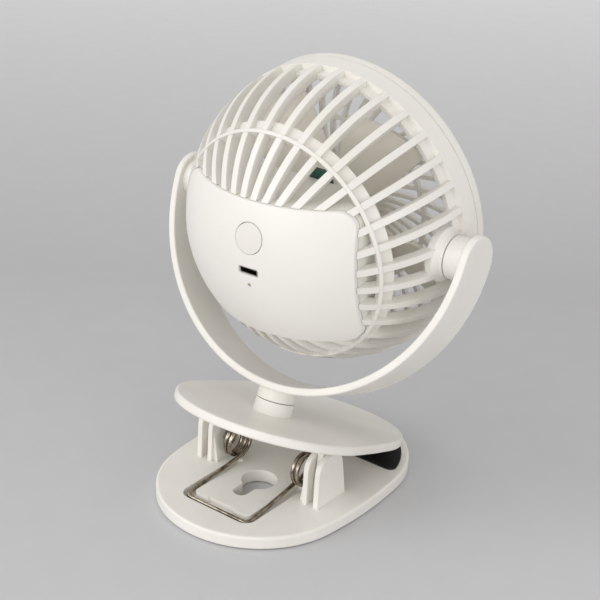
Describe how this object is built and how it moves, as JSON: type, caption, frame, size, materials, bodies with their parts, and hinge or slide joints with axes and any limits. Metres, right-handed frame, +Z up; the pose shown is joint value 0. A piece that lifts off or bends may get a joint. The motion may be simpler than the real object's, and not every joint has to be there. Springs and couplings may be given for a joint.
{
  "type": "clip fan",
  "caption": "Rechargeable clip fan: slotted ball-shaped head tilting in a yoke that swivels on a sprung clip, with a keyhole in the lower jaw.",
  "frame": {"origin": "on the ground, under the middle of the lower jaw's outline, which is also the middle of the yoke", "axes": "+Z up, -Y the way the jaws open and the air leaves, +X along the jaw hinge and the head's tilt pivots, to the left seen from the front"},
  "size_m": [0.142, 0.1192, 0.1737],
  "materials": {
    "base_plate": "satin moulded shell",
    "grip_pad": "soft matt",
    "feet": "soft matt",
    "steel_pin": "turned",
    "spring_wire": "drawn and oiled",
    "upper_jaw": "satin moulded shell",
    "yoke": "satin moulded shell",
    "small_steel": "zinc plated",
    "housing": "satin moulded shell",
    "rear_panel": "smooth moulded shell",
    "button": "satin moulded shell",
    "dark_plastic": "moulded",
    "port_shell": "stamped and plated",
    "lamp_lens": "polished",
    "board": "varnished",
    "cell_sleeve": "shrink sleeve",
    "motor_steel": "zinc plated",
    "impeller": "moulded",
    "grille": "satin moulded shell"
  },
  "bodies": {
    "base": {"base_plate": "base_plate", "base_grip_pad": "grip_pad", "rubber_feet": "feet", "hinge_pin_left": "steel_pin", "hinge_pin_right": "steel_pin", "clip_spring": "spring_wire"},
    "jaw": {"upper_jaw": "upper_jaw", "upper_grip_pad": "grip_pad"},
    "yoke": {"yoke": "yoke", "swivel_washer": "small_steel", "swivel_screw": "small_steel", "pivot_washers": "small_steel", "pivot_screws": "small_steel"},
    "head": {"rear_housing": "housing", "rear_panel": "rear_panel", "power_switch": "dark_plastic", "usb_socket": "port_shell", "usb_tongue": "dark_plastic", "usb_holder": "dark_plastic", "lamp_lens": "lamp_lens", "control_board": "board", "driver_board": "board", "battery_cell": "cell_sleeve", "motor_can": "motor_steel", "motor_screws": "small_steel", "front_grille": "grille"},
    "button": {"power_button": "button"},
    "fan": {"motor_shaft": "steel_pin", "impeller": "impeller"}
  },
  "joints": [
    {"name": "clip_hinge", "type": "hinge", "parent": "base", "child": "jaw", "pos_m": [0, 0.0109, 0.0147], "axis": [-1, 0, 0], "range_deg": [0, 36], "stiffness_Nm_per_rad": 0.9, "springref_deg": -34.38, "deforming": ["clip_spring"]},
    {"name": "yoke_swivel", "type": "hinge", "parent": "jaw", "child": "yoke", "pos_m": [0, 0.01021, 0.03421], "axis": [0, -0.3535, 0.9354], "continuous": true},
    {"name": "head_tilt", "type": "hinge", "parent": "yoke", "child": "head", "pos_m": [0, -0.01867, 0.11064], "axis": [1, 0, 0], "continuous": true},
    {"name": "fan_spin", "type": "hinge", "parent": "head", "child": "fan", "pos_m": [0, -0.01867, 0.11064], "axis": [0, -0.9877, 0.1564], "continuous": true},
    {"name": "power_button_press", "type": "slide", "parent": "head", "child": "button", "axis": [0, -0.9877, 0.1564], "range_m": [0, 0.0005], "stiffness_N_per_m": 2000, "springref_m": -0.0003}
  ]
}
